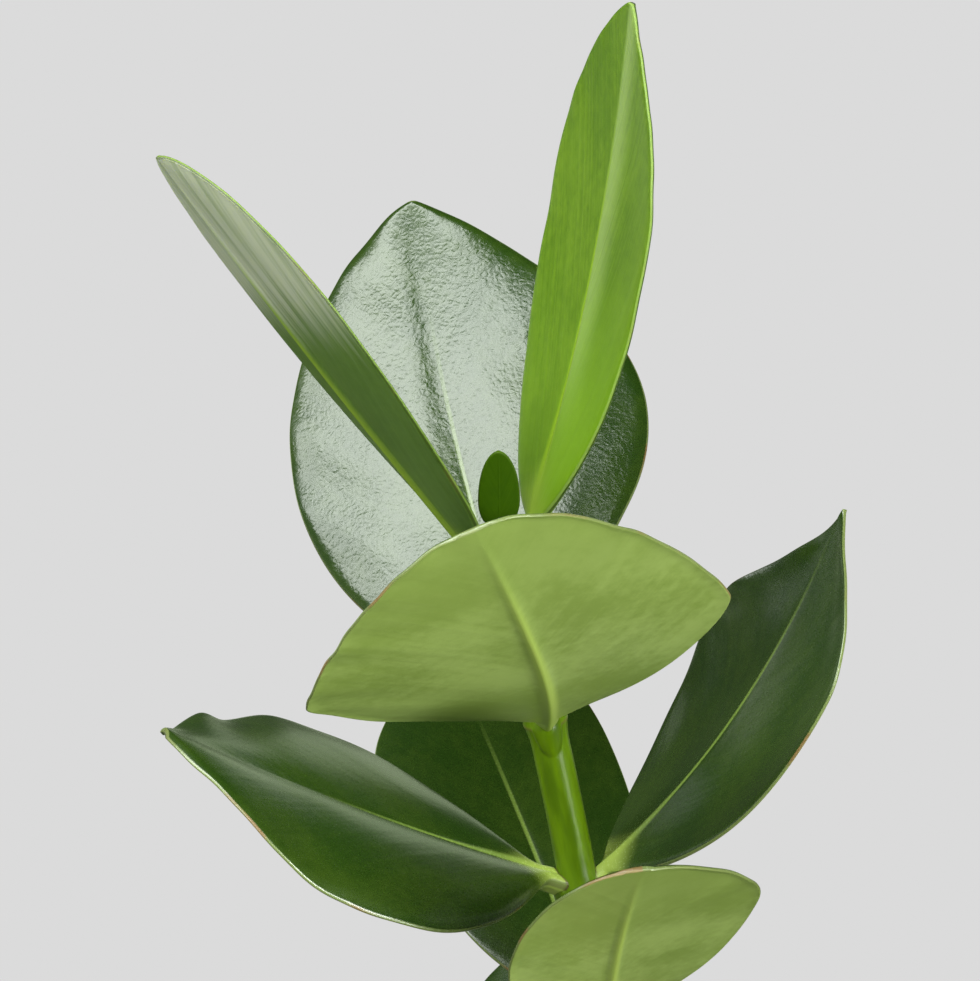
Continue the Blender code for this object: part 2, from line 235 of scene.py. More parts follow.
BUD_LOOK = LeafLook(
    top=(0.060, 0.125, 0.001), top_deep=(0.046, 0.100, 0.001),
    below=(0.036, 0.090, 0.001), below_deep=(0.028, 0.074, 0.001),
    rib=(0.09, 0.16, 0.010), rib_below=(0.05, 0.10, 0.005),
    edge=(0.05, 0.10, 0.005), edge_below=(0.05, 0.10, 0.005),
    gloss=0.34, shine=0.1, leather=0.2, slant=2.6, seep=0.1, bloom=0.0)
YOUNG_LOOK = LeafLook(
    top=(0.094, 0.176, 0.008), top_deep=(0.054, 0.118, 0.003),
    below=(0.110, 0.200, 0.036), below_deep=(0.082, 0.158, 0.024),
    rib=(0.16, 0.27, 0.010), rib_below=(0.20, 0.31, 0.03),
    edge=(0.19, 0.29, 0.06), edge_below=(0.030, 0.055, 0.006),
    gloss=0.34, shine=0.2, leather=0.2, slant=2.6, seep=0.3, bloom=0.40)
MATURE_LOOK = LeafLook(
    top=(0.020, 0.044, 0.003), top_deep=(0.010, 0.030, 0.0015),
    below=(0.315, 0.425, 0.110), below_deep=(0.205, 0.295, 0.055),
    rib=(0.15, 0.23, 0.04), rib_below=(0.35, 0.47, 0.085),
    edge=(0.15, 0.20, 0.06), edge_below=(0.13, 0.16, 0.05),
    gloss=0.25, shine=0.75, leather=1.0, slant=1.5, seep=0.0, bloom=0.0)

# Colours that all leaves share
# A band of painted sheen beside the rib of a young leaf.
PAINTED_SHEEN_BAND = (0.30, 0.41, 0.14)
# Painted light shining through a young leaf.
LIT_THROUGH = (0.16, 0.31, 0.014)
# Painted shade for an underside.
UNDER_SHADE = (0.10, 0.155, 0.016)
# A painted grey reflection.
PAINTED_REFLECTION_GREY = (0.50, 0.54, 0.40)
BROWNED_EDGE = (0.22, 0.10, 0.045)
STALK_SCAR = (0.055, 0.030, 0.012)

# One leaf. Angles are in degrees. heading: compass direction of the petiole, 0 at +X and 90 at +Y.
# rise: angle above level, gaining bend by the tip. sweep: sideways curve of the rib. roll: turn of the
# blade about its rib, gaining twist by the tip, and tip_turn more in its outermost part. fold: lift of
# each half from the rib. curl: arch across. widest: place of the widest point. base and tip: how blunt
# each end is. lopsided: extra on the left half. skew: how much further out the left half is widest.
# base_skew and tip_skew: extra bluntness on the left. corner: 2 for a smooth outline at the widest
# point, less for a cornered one. reach: length of the petiole. dent: lift of one edge, with its place
# along the blade and its side, 1 for left and -1 for right.
Leaf = namedtuple(
    "Leaf",
    "joint heading rise bend sweep roll twist fold curl length width widest base tip lopsided skew "
    "base_skew tip_skew corner reach tip_turn dent dent_place dent_side",
    defaults=(0.0, 0.0, 0.0, 0.0, 2.0, PETIOLE_REACH, 0.0, 0.0, 0.85, -1),
)

YOUNG_LEAVES = {
    "leaf_tip_front": Leaf(
        joint=JOINT_TIP, heading=-88, rise=75, bend=0, sweep=-6, roll=4, twist=0, fold=0, curl=-0.02,
        length=0.0240, width=0.0092, widest=0.40, base=0.4, tip=0.5),
    "leaf_tip_back": Leaf(
        joint=JOINT_TIP, heading=96, rise=76, bend=0, sweep=0, roll=-4, twist=0, fold=0, curl=-0.02,
        length=0.0160, width=0.0072, widest=0.53, base=0.7, tip=0.6),
    "leaf_top_left": Leaf(
        joint=JOINT_TOP, heading=196, rise=52, bend=2, sweep=-17, roll=9, twist=16, fold=-4, curl=0.13,
        length=0.124, width=0.066, widest=0.60, base=0.67, tip=0.59, reach=0.011),
    "leaf_top_right": Leaf(
        joint=JOINT_TOP, heading=40, rise=68, bend=17, sweep=-10, roll=-16, twist=1, fold=-2, curl=0.06,
        length=0.130, width=0.062, widest=0.63, base=0.65, tip=0.85, skew=0.01, base_skew=-0.10,
        tip_skew=-0.10),
}

MATURE_LEAVES = {
    "leaf_upper_front": Leaf(
        joint=JOINT_UPPER, heading=-87, rise=29, bend=16, sweep=-22, roll=6, twist=27, fold=0, curl=0.01,
        length=0.147, width=0.091, widest=0.50, base=0.70, tip=0.50, lopsided=-0.07, skew=-0.03,
        base_skew=0.10, corner=1.3, reach=0.011),
    "leaf_upper_back": Leaf(
        joint=JOINT_UPPER, heading=109, rise=24, bend=30, sweep=-6, roll=-28, twist=9, fold=5, curl=-0.23,
        length=0.144, width=0.086, widest=0.53, base=1.05, tip=0.85, lopsided=-0.05, base_skew=-0.15,
        tip_skew=-0.05),
    "leaf_middle_left": Leaf(
        joint=JOINT_MIDDLE, heading=204, rise=26, bend=5, sweep=-10, roll=-15, twist=9, fold=12,
        curl=-0.25, length=0.110, width=0.080, widest=0.52, base=1.20, tip=0.67, lopsided=-0.02,
        skew=-0.05, base_skew=-0.15, tip_skew=-0.11, reach=0.009, tip_turn=18, dent=0.14,
        dent_place=0.845, dent_side=-1),
    "leaf_middle_right": Leaf(
        joint=JOINT_MIDDLE, heading=-9, rise=45, bend=25, sweep=28, roll=17, twist=-13, fold=-19,
        curl=0.31, length=0.109, width=0.068, widest=0.59, base=0.60, tip=1.55, lopsided=-0.08,
        skew=-0.09, base_skew=-0.25, tip_skew=0.15, reach=0.008, dent=0.06, dent_place=0.70,
        dent_side=1),
    "leaf_lower_front": Leaf(
        joint=JOINT_LOWER, heading=-91, rise=42, bend=1, sweep=9, roll=20, twist=-13, fold=-3, curl=0.0,
        length=0.122, width=0.055, widest=0.61, base=0.65, tip=0.55, lopsided=0.10, skew=0.04,
        base_skew=-0.05, tip_skew=0.15),
    "leaf_lower_back": Leaf(
        joint=JOINT_LOWER, heading=107, rise=24, bend=-1, sweep=3, roll=-9, twist=2, fold=7, curl=-0.04,
        length=0.124, width=0.058, widest=0.65, base=0.40, tip=0.55, lopsided=0.03, tip_skew=0.30),
    "leaf_low_left": Leaf(
        joint=JOINT_LOW, heading=200, rise=20, bend=-8, sweep=6, roll=-6, twist=6, fold=4, curl=-0.08,
        length=0.118, width=0.070, widest=0.62, base=0.85, tip=0.65, lopsided=0.04, dent=0.07,
        dent_place=0.72, dent_side=1),
    "leaf_low_right": Leaf(
        joint=JOINT_LOW, heading=-14, rise=24, bend=-10, sweep=-8, roll=5, twist=-8, fold=5, curl=-0.06,
        length=0.116, width=0.072, widest=0.60, base=0.90, tip=0.62, tip_turn=-9),
    "leaf_bottom_front": Leaf(
        joint=JOINT_BOTTOM, heading=-82, rise=26, bend=-16, sweep=8, roll=4, twist=6, fold=5, curl=-0.10,
        length=0.108, width=0.066, widest=0.61, base=0.85, tip=0.60, lopsided=0.03),
    "leaf_bottom_back": Leaf(
        joint=JOINT_BOTTOM, heading=109, rise=24, bend=-3, sweep=-5, roll=-26, twist=-5, fold=-1,
        curl=-0.20, length=0.115, width=0.078, widest=0.60, base=0.90, tip=0.75),
}

ALL_LEAVES = {**YOUNG_LEAVES, **MATURE_LEAVES}
STALKED_LEAVES = [leaf for leaf in ALL_LEAVES.values() if leaf.joint < JOINT_TIP]

# What a blade has of its own. unrest: how uneven it is. left_valley and right_valley: how deep the rib
# lies below each half. pleat: height of the folds out to the margin. rib_seen: how far along the blade
# the rib shows pale. The last sets how strongly the outer part of the underside gets a painted grey
# reflection.
Habit = namedtuple(
    "Habit", "unrest left_valley right_valley pleat rib_seen silvered",
    defaults=(1.0, 0.0004, 0.0004, 0.0003, 1.0, 0.0))

HABITS = {
    "leaf_upper_back": Habit(
        unrest=1.7, left_valley=0.00095, right_valley=0.0002, pleat=0.0005, rib_seen=0.85),
    "leaf_lower_back": Habit(unrest=0.05, rib_seen=0.85),
    "leaf_middle_left": Habit(rib_seen=0.65),
    "leaf_top_right": Habit(unrest=0.6, left_valley=0.0003, right_valley=0.0007, silvered=0.25),
    "leaf_top_left": Habit(unrest=0.4, silvered=1.0),
}


# Waves in a random ripple, and the shortest and longest of them for its size
RIPPLE_WAVES = 9
RIPPLE_LENGTHS = (1.2, 3.2)


# Making pieces
def nothing_selected():
    bpy.ops.object.select_all(action="DESELECT")


def wrapped_tube(name, rings):
    """A skin: a grid whose every row is wrapped into one ring of points."""
    rows, around = rings.shape[0], rings.shape[1]
    nothing_selected()
    bpy.ops.mesh.primitive_grid_add(x_subdivisions=around, y_subdivisions=rows - 1, size=1.0)
    skin = bpy.context.object
    skin.name = skin.data.name = name
    flat = np.empty(len(skin.data.vertices) * 3, np.float32)
    skin.data.vertices.foreach_get("co", flat)
    flat = flat.reshape(-1, 3) + 0.5
    column = np.rint(flat[:, 0] * around).astype(int) % around
    row = np.rint(flat[:, 1] * (rows - 1)).astype(int)
    skin.data.vertices.foreach_set("co", rings[row, column].astype(np.float32).ravel())
    return skin, row, column


def close_skin(skin):
    """Merges the seam, caps both ends and points the faces outwards."""
    bpy.context.view_layer.objects.active = skin
    bpy.ops.object.mode_set(mode="EDIT")
    bpy.ops.mesh.select_mode(type="VERT")
    bpy.ops.mesh.select_all(action="SELECT")
    bpy.ops.mesh.remove_doubles(threshold=0.000001)
    bpy.ops.mesh.select_all(action="DESELECT")
    bpy.ops.mesh.select_non_manifold(extend=False, use_wire=False, use_multi_face=False, use_verts=False)
    bpy.ops.mesh.fill_holes(sides=0)
    bpy.ops.mesh.select_all(action="SELECT")
    bpy.ops.mesh.normals_make_consistent(inside=False)
    bpy.ops.object.mode_set(mode="OBJECT")
    bpy.ops.object.shade_smooth()


def marked(skin, name, kind, values):
    """Writes one value, or one vector, to each point of a piece, for its material to read."""
    attribute = skin.data.attributes.new(name, kind, "POINT")
    field = "value" if kind == "FLOAT" else "vector"
    attribute.data.foreach_set(field, np.asarray(values, np.float32).ravel())


def ripple(x, y, size, seed):
    """A smooth random height from -1 to 1 over a plane, with humps of about the given size."""
    draw = np.random.default_rng(seed)
    total = 0.0
    for _ in range(RIPPLE_WAVES):
        turn = draw.uniform(0, 2 * math.pi)
        pitch = 2 * math.pi / (size * draw.uniform(*RIPPLE_LENGTHS))
        start = draw.uniform(0, 2 * math.pi)
        total = total + np.sin(pitch * (x * math.cos(turn) + y * math.sin(turn)) + start)
    return total / (RIPPLE_WAVES / 2)


def stands_for(piece, node, material):
    piece.data.materials.clear()
    piece.data.materials.append(material)
    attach(piece, "root")
    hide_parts(node)


# The stem's line and thickness
def stem_centre(height):
    above = np.maximum(height - SOIL_LEVEL, 0.0)
    return np.stack([-STEM_LEAN * above**2, np.zeros_like(above), height + 0.0 * above], axis=-1)


def stem_radius(height):
    lower = STEM_BASE_RADIUS + (STEM_MIDDLE_RADIUS - STEM_BASE_RADIUS) * (height - STEM_FOOT) / (
        STEM_SLIM_FROM - STEM_FOOT)
    upper = STEM_MIDDLE_RADIUS + (STEM_TIP_RADIUS - STEM_MIDDLE_RADIUS) * (height - STEM_SLIM_FROM) / (
        STEM_TOP - STEM_SLIM_FROM)
    swell = sum(np.exp(-(((height - joint) / JOINT_SPREAD) ** 2)) for joint in JOINTS)
    return np.where(height < STEM_SLIM_FROM, lower, upper) + JOINT_SWELL * swell


# A leaf's form
def eased(share):
    share = np.clip(share, 0.0, 1.0)
    return share * share * (3 - 2 * share)


def half_width(leaf, along, side):
    widest = leaf.widest + side * leaf.skew
    nearer = along < widest
    share = np.where(nearer, 1 - along / widest, (along - widest) / (1 - widest))
    bluntness = np.where(nearer, leaf.base + side * leaf.base_skew, leaf.tip + side * leaf.tip_skew)
    outline = np.maximum(1 - np.abs(share) ** leaf.corner, 0.0) ** bluntness
    return leaf.width / 2 * outline * (1 + side * leaf.lopsided)


def rib_direction(leaf, share):
    ease = eased(share * leaf.length / ROOT_RUN)
    root = min(ROOT_RISE, leaf.rise)
    rise = np.radians(root + (leaf.rise + leaf.bend * share - root) * ease)
    heading = np.radians(leaf.heading + leaf.sweep * share)
    level = np.cos(rise)
    return np.stack([level * np.cos(heading), level * np.sin(heading), np.sin(rise)], axis=-1)


def rib_points(leaf, share):
    middles = (np.arange(PATH_STEPS) + 0.5) / PATH_STEPS
    steps = rib_direction(leaf, share[:, None] * middles)
    return stem_centre(np.float64(leaf.joint)) + leaf.length * share[:, None] * steps.mean(axis=1)


def blade_axes(leaf, share):
    """The directions to the leaf's left and out of its upper face."""
    along = rib_direction(leaf, share)
    heading = np.radians(leaf.heading + leaf.sweep * share)
    left = np.stack([-np.sin(heading), np.cos(heading), np.zeros_like(heading)], axis=-1)
    upper = np.cross(along, left)
    late = eased((share - TIP_TURN_FROM) / (1 - TIP_TURN_FROM))
    turn = np.radians(leaf.roll + leaf.twist * share + leaf.tip_turn * late)[:, None]
    return np.cos(turn) * left + np.sin(turn) * upper, np.cos(turn) * upper - np.sin(turn) * left


def edge_lift(leaf, blade_share, side, half):
    """How far the margin lies above the rib's two halves: an arch across, and a dent."""
    near = (blade_share - leaf.dent_place) / DENT_LENGTH
    dent = np.where(side == leaf.dent_side, leaf.width / 2 * leaf.dent, 0.0)
    return half * leaf.curl + dent * np.exp(-(near**2))


def unevenness(along, out, place, half, seed, habit):
    """A living blade's own relief: broad swells, pleats out to the rolled margin, a valley at the rib."""
    aside = np.abs(out)
    swells = SWELL * ripple(along, out, SWELL_SIZE, seed) * np.minimum(aside / SWELL_SIZE, 1)
    folds = ripple(along - aside, PLEAT_SHIFT * np.sign(out), PLEAT_SIZE, seed + PLEAT_SEED)
    pleats = habit.pleat * folds * place**2
    above_rib = np.where(out > 0, habit.left_valley, habit.right_valley)
    above_rib = above_rib * (1 - np.exp(-((out / VALLEY_WIDTH) ** 2)))
    rolled = ROLLED_DROP * np.clip(1 - (half - aside) / ROLLED_BAND, 0, 1) ** 2
    return (swells + pleats + above_rib - rolled) * habit.unrest


def around_section():
    """Places round one section, over the upper face from right to left, round the edge and back below."""
    even = np.linspace(-1, 1, LEAF_COLUMNS + 1)
    across = np.sign(even) * np.abs(even) ** COLUMN_CROWDING
    outermost = np.array(MARGIN_COLUMNS)
    across = np.sort(np.concatenate([-outermost, across, outermost]))
    edge = np.radians([45, 0, -45])
    place = np.concatenate([across, [1, 1, 1], across[::-1], [-1, -1, -1]])
    above = np.full(len(across), math.pi / 2)
    angle = np.concatenate([above, edge, -above, edge[::-1]])
    return place, np.cos(angle), np.sin(angle)


def skin_depth(share, blade_share, out, place, edge_up, petiole, small):
    """How far the skin lies from the blade's middle: a grooved rib above, a keel below, a round petiole."""
    rib_depth = (KEEL_HEIGHTENED * RIB_DEPTH * small * (1 - RIB_FADE * share) * (1 - share**4))[:, None]
    rib_width = (KEEL_NARROWED * RIB_WIDTH * small * (RIB_SPREAD - RIB_NARROWING * share))[:, None]
    body = BLADE_THICKNESS + (MARGIN_THICKNESS - BLADE_THICKNESS) * place**2
    rounded = petiole * np.sqrt(np.maximum(1 - place**2, 0.0))
    grooved = eased(blade_share / GROOVE_COMES) * eased((GROOVE_TO - blade_share) / GROOVE_GOES)
    groove = GROOVE * small * np.exp(-((out / (GROOVE_WIDTH * rib_width)) ** 2)) * grooved[:, None]
    keel = ((rib_depth * np.exp(-((out / rib_width) ** 2))) ** 4 + (PETIOLE_KEEL * rounded) ** 4) ** 0.25
    return np.where(edge_up > 0, body / 2 + PETIOLE_CROWN * rounded - groove, body / 2 + keel) * edge_up


def leaf_skin(name, leaf, seed, habit):
    """One leaf from its round petiole to its tip, with rib, rounded margin and a gently uneven blade."""
    even = np.linspace(0, 1, LEAF_STATIONS)
    share = TIP_STATION * (even - STATION_CROWDING * np.sin(2 * math.pi * even))
    place, edge_out, edge_up = around_section()
    side = np.where(place > 0, 1, -1)
    reach = leaf.reach / leaf.length * min(leaf.length / FULL_LENGTH, 1.0)
    blade_share = np.maximum((share - reach) / (1 - reach), 0.0)
    small = min(leaf.width / FULL_WIDTH, 1.0)
    petiole = (PETIOLE_RADIUS * small**0.5 * (1 - share) ** 2)[:, None]
    fold = np.radians(leaf.fold * (FOLD_AT_BASE - FOLD_LOSS * blade_share))[:, None]
    centre = rib_points(leaf, share)[:, None]
    left, upper = (axis[:, None] for axis in blade_axes(leaf, share))
    blade = half_width(leaf, blade_share[:, None], side[None, :])
    half = np.hypot(petiole, blade)
    round_off = np.minimum(MARGIN_THICKNESS / 2, half / 2)
    out = side * ((half - round_off) * np.abs(place) + round_off * edge_out)
    place = out / half
    along = (share * leaf.length)[:, None] + 0 * out
    lift = np.abs(out) * np.sin(fold) + place**2 * edge_lift(leaf, blade_share[:, None], side, blade)
    uneven = unevenness(along, out, place, half, seed, habit) * small
    lift = lift + uneven * eased(blade_share / RELIEF_SETS_IN)[:, None]
    middle = centre + left * (out * np.cos(fold))[..., None] + upper * lift[..., None]
    depth = skin_depth(share, blade_share, out, place, edge_up, petiole, small)
    points = middle + upper * depth[..., None]
    skin, row, column = wrapped_tube(name, points)
    blade_place = np.stack([along, out, seed + 0 * out], axis=-1)
    marked(skin, "blade_place", "FLOAT_VECTOR", blade_place[row, column])
    marked(skin, "upper_face", "FLOAT", (edge_up[column] + 1) / 2)
    from_edge = np.minimum(half - np.abs(out), (TIP_STATION - share[:, None]) * leaf.length)
    marked(skin, "from_edge", "FLOAT", from_edge[row, column])
    marked(skin, "blade_part", "FLOAT", blade_share[row])
    whole_leaf = {
        "leaf_size": small, "unrest": habit.unrest, "rib_seen": habit.rib_seen, "silvered": habit.silvered}
    for mark, value in whole_leaf.items():
        marked(skin, mark, "FLOAT", np.full(len(row), value))
    away = points - stem_centre(points[..., 2])
    clear = np.linalg.norm(away, axis=-1) - stem_radius(points[..., 2])
    marked(skin, "from_stem", "FLOAT", clear[row, column])
    close_skin(skin)
    return skin


def around_joint(height, angle, joint, heading, drop, wide, tall):
    """Distance from a spot below a leaf joint on the stem's surface, 1 at the rim of its oval."""
    off = (angle - math.radians(heading) + math.pi) % (2 * math.pi) - math.pi
    sideways = off * stem_radius(np.float64(joint)) / wide
    return np.hypot(sideways, (height - joint + drop) / tall)


def stem_skin():
    """The stem, with a ring at each joint, a tongue under each petiole and two old leaf scars."""
    height = np.linspace(STEM_FOOT, STEM_TOP, STEM_RINGS)
    angle = np.linspace(0, 2 * math.pi, STEM_SIDES, endpoint=False)
    lean = np.arctan(2 * STEM_LEAN * np.maximum(height - SOIL_LEVEL, 0.0))
    side = np.stack([np.cos(lean), 0 * lean, np.sin(lean)], axis=-1)
    tall, turn = height[:, None], angle[None, :]
    waver = ripple(
        tall + STEM_WAVER_TURN * np.sin(turn), STEM_WAVER_TURN * np.cos(turn), STEM_WAVER_SIZE, seed=5)
    radius = stem_radius(tall) * (1 + STEM_WAVER * waver)
    pad = 0 * radius
    for leaf in STALKED_LEAVES:
        near = around_joint(tall, turn, leaf.joint, leaf.heading, PAD_DROP, PAD_WIDTH, PAD_HEIGHT)
        pad = np.maximum(pad, np.sqrt(np.maximum(1 - near**2, 0.0)))
    ring = sum(np.exp(-(((tall - joint + RING_DROP) / RING_HEIGHT) ** 2)) for joint in JOINTS) + 0 * turn
    scar, rim = 0 * radius, 0 * radius
    for heading in SCAR_HEADINGS:
        near = around_joint(tall, turn, JOINT_SCARRED, heading, 0.0, SCAR_WIDTH, SCAR_HEIGHT)
        scar = np.maximum(scar, eased((1.0 - near) / SCAR_SLOPE))
        rim = np.maximum(rim, np.exp(-(((near - 1.0) / SCAR_RIM_WIDTH) ** 2)))
    radius = radius + PAD_RISE * pad + RING_RISE * ring * (1 - pad) + SCAR_RIM * rim - SCAR_DEPTH * scar
    back = np.array([0.0, 1.0, 0.0])
    outward = np.cos(turn)[..., None] * side[:, None] + np.sin(turn)[..., None] * back
    points = stem_centre(height)[:, None] + outward * radius[..., None]
    skin, row, column = wrapped_tube("stem_skin", points)
    stem_place = np.stack([np.cos(angle)[column], np.sin(angle)[column], height[row]], axis=-1)
    marked(skin, "stem_place", "FLOAT_VECTOR", stem_place)
    marked(skin, "old_scar", "FLOAT", np.maximum(scar, rim)[row, column])
    marked(skin, "joint_ring", "FLOAT", (ring * (1 - pad))[row, column])
    close_skin(skin)
    return skin


# Pot and soil
def pot_outline():
    """The pot's radius and height, from its base up the wall, over the rim and down inside."""
    draw = np.random.default_rng(8)
    band = POT_TOP_RADIUS + RIM_STEP
    band_foot = POT_HEIGHT - RIM_HEIGHT
    outline = [(POT_BASE_RADIUS, 0.0)]
    for share in np.linspace(0, 1, WALL_RINGS + 1)[1:-1]:
        radius = POT_BASE_RADIUS + (POT_TOP_RADIUS - POT_BASE_RADIUS) * share
        outline.append((radius + draw.uniform(-THROW_MARK, THROW_MARK), band_foot * share))
    outline += [(POT_TOP_RADIUS, band_foot), (band - RIM_DRAFT, band_foot)]
    for share in BAND_RINGS:
        radius = band - RIM_DRAFT * (1 - share) + draw.uniform(-THROW_MARK, THROW_MARK)
        outline.append((radius, band_foot + RIM_HEIGHT * share))
    return outline + [(band, POT_HEIGHT), (POT_INNER_TOP, POT_HEIGHT), (POT_INNER_FOOT, POT_FLOOR)]


def thrown_pot():
    """The pot thrown ring by ring from its flat base, each ring extruded and resized."""
    outline = pot_outline()
    nothing_selected()
    bpy.ops.mesh.primitive_circle_add(vertices=POT_SIDES, radius=POT_BASE_RADIUS, fill_type="NGON")
    pot = bpy.context.object
    pot.name = pot.data.name = "thrown_pot"
    bpy.ops.object.mode_set(mode="EDIT")
    bpy.ops.mesh.select_all(action="SELECT")
    for (radius, height), (next_radius, next_height) in zip(outline, outline[1:]):
        wider = next_radius / radius
        up = next_height - height
        bpy.ops.mesh.extrude_region_move(TRANSFORM_OT_translate={"value": (0.0, 0.0, up)})
        bpy.ops.transform.resize(value=(wider, wider, 1.0))
    bpy.ops.mesh.select_all(action="SELECT")
    bpy.ops.mesh.normals_make_consistent(inside=False)
    bpy.ops.mesh.select_all(action="DESELECT")
    bpy.ops.mesh.edges_select_sharp(sharpness=math.radians(SHARP_FROM))
    bpy.ops.mesh.bevel(offset=EDGE_ROUND, segments=ROUNDING_STEPS, affect="EDGES")
    bpy.ops.object.mode_set(mode="OBJECT")
    bpy.ops.object.shade_smooth_by_angle(angle=math.radians(SMOOTH_TO))
    return pot


def inner_radius(height):
    share = (height - POT_FLOOR) / (POT_HEIGHT - EDGE_ROUND - POT_FLOOR)
    return POT_INNER_FOOT + (POT_INNER_TOP - POT_INNER_FOOT) * share


def soil_radii():
    """Radius of the stem and of the soil's rim, at the soil's level."""
    return stem_radius(np.float64(SOIL_LEVEL)), inner_radius(SOIL_LEVEL) - 2 * GAP


def soil_height(radius, x, y):
    """Height of the soil's surface, mounded at the stem and uneven all over."""
    _, rim = soil_radii()
    shares, falls = zip(*SOIL_SURFACE)
    level = SOIL_LEVEL - SOIL_MOUND * np.interp(radius / rim, shares, falls)
    calm = np.clip((rim - radius) / SOIL_CALM_EDGE, 0.0, 1.0)
    return level + calm * sum(height * ripple(x, y, size, seed) for height, size, seed in SOIL_HUMPS)


def soil_fill():
    """The soil from its hole round the stem, out over the crumbly surface, down the wall and in below."""
    draw = np.random.default_rng(31)
    stem, rim = soil_radii()
    hole = stem + GAP
    radii = [hole, hole, *np.linspace(hole, rim, SOIL_RINGS)[1:], POT_INNER_FOOT - GAP, SOIL_FOOT_RING]
    foot = POT_FLOOR + GAP
    angle = np.linspace(0, 2 * math.pi, SOIL_SPOKES, endpoint=False)
    rings = np.empty((len(radii), SOIL_SPOKES, 3))
    for i, radius in enumerate(radii):
        x, y = radius * np.cos(angle), radius * np.sin(angle)
        if i == 0:
            height = np.full(SOIL_SPOKES, STEM_FOOT - GAP)
        elif i < len(radii) - 2:
            grit = SOIL_GRIT * min((rim - radius) / SOIL_CALM_EDGE, (radius - hole) / SOIL_CALM_EDGE, 1.0)
            height = soil_height(radius, x, y) + draw.uniform(-grit, grit, SOIL_SPOKES)
        else:
            height = np.full(SOIL_SPOKES, foot)
        rings[i] = np.stack([x, y, height], axis=-1)
    skin, _, _ = wrapped_tube("soil_fill", rings)
    close_skin(skin)
    return skin


def lump(name, stretch, seed):
    """One crumb or chip: a coarse ball, knocked out of shape."""
    nothing_selected()
    bpy.ops.mesh.primitive_ico_sphere_add(subdivisions=1, radius=1.0)
    master = bpy.context.object
    master.name = name
    bpy.ops.object.mode_set(mode="EDIT")
    bpy.ops.mesh.select_all(action="SELECT")
    bpy.ops.transform.vertex_random(offset=LITTER_KNOCKED, uniform=1.0, seed=seed)
    bpy.ops.transform.resize(value=stretch)
    bpy.ops.object.mode_set(mode="OBJECT")
    return master


def strewn_lump(litter, masters, draw):
    """A copy of one of the lumps, with its own mesh, size, place and turn."""
    stem, rim = soil_radii()
    master = masters[draw.integers(len(masters))]
    size = litter.smallest + (litter.largest - litter.smallest) * draw.random() ** 3
    nearest = stem + size + LITTER_MARGIN
    furthest = rim - size - LITTER_MARGIN
    radius = math.sqrt(draw.uniform(nearest**2, furthest**2))
    angle = draw.uniform(0, 2 * math.pi)
    x, y = radius * math.cos(angle), radius * math.sin(angle)
    crumb = bpy.data.objects.new(litter.name, master.data.copy())
    bpy.context.collection.objects.link(crumb)
    raised = size * draw.uniform(LITTER_SUNK, LITTER_RAISED)
    crumb.location = (x, y, float(soil_height(radius, x, y)) + raised)
    tilts = [draw.uniform(-LITTER_TILT, LITTER_TILT) for _ in range(2)]
    crumb.rotation_euler = (*tilts, draw.uniform(0, 2 * math.pi))
    crumb.scale = (size, size, size)
    return crumb


def scattered(litter):
    """Lumps of a few shapes strewn over the soil and joined into one piece."""
    masters = [lump(litter.lump, shape, seed) for seed, shape in enumerate(litter.shapes, litter.first_seed)]
    draw = np.random.default_rng(litter.seed)
    strewn = [strewn_lump(litter, masters, draw) for _ in range(litter.count)]
    for master in masters:
        bpy.data.objects.remove(master)
    nothing_selected()
    for crumb in strewn:
        crumb.select_set(True)
    bpy.context.view_layer.objects.active = strewn[0]
    bpy.ops.object.join()
    piece = bpy.context.object
    piece.name = piece.data.name = litter.name
    bpy.ops.object.transform_apply(location=True, rotation=True, scale=True)
    return piece


# Shader helpers
class Link:
    """A node's output that works in Python expressions, each of which adds its Math node."""

    def __init__(self, web, socket):
        self.web = web
        self.socket = socket

    def math(self, operation, *values):
        return self.web.node("ShaderNodeMath", {"operation": operation}, dict(enumerate(values)))

    def __add__(self, other):
        return self.math("ADD", self, other)

    def __sub__(self, other):
        return self.math("SUBTRACT", self, other)

    def __rsub__(self, other):
        return self.math("SUBTRACT", other, self)

    def __mul__(self, other):
        return self.math("MULTIPLY", self, other)

    def __truediv__(self, other):
        return self.math("DIVIDE", self, other)

    def __pow__(self, other):
        return self.math("POWER", self, other)

    def __abs__(self):
        return self.math("ABSOLUTE", self)

    __radd__ = __add__
    __rmul__ = __mul__

    def most(self, other):
        return self.math("MAXIMUM", self, other)

    def output(self, name):
        return Link(self.web, self.socket.node.outputs[name])


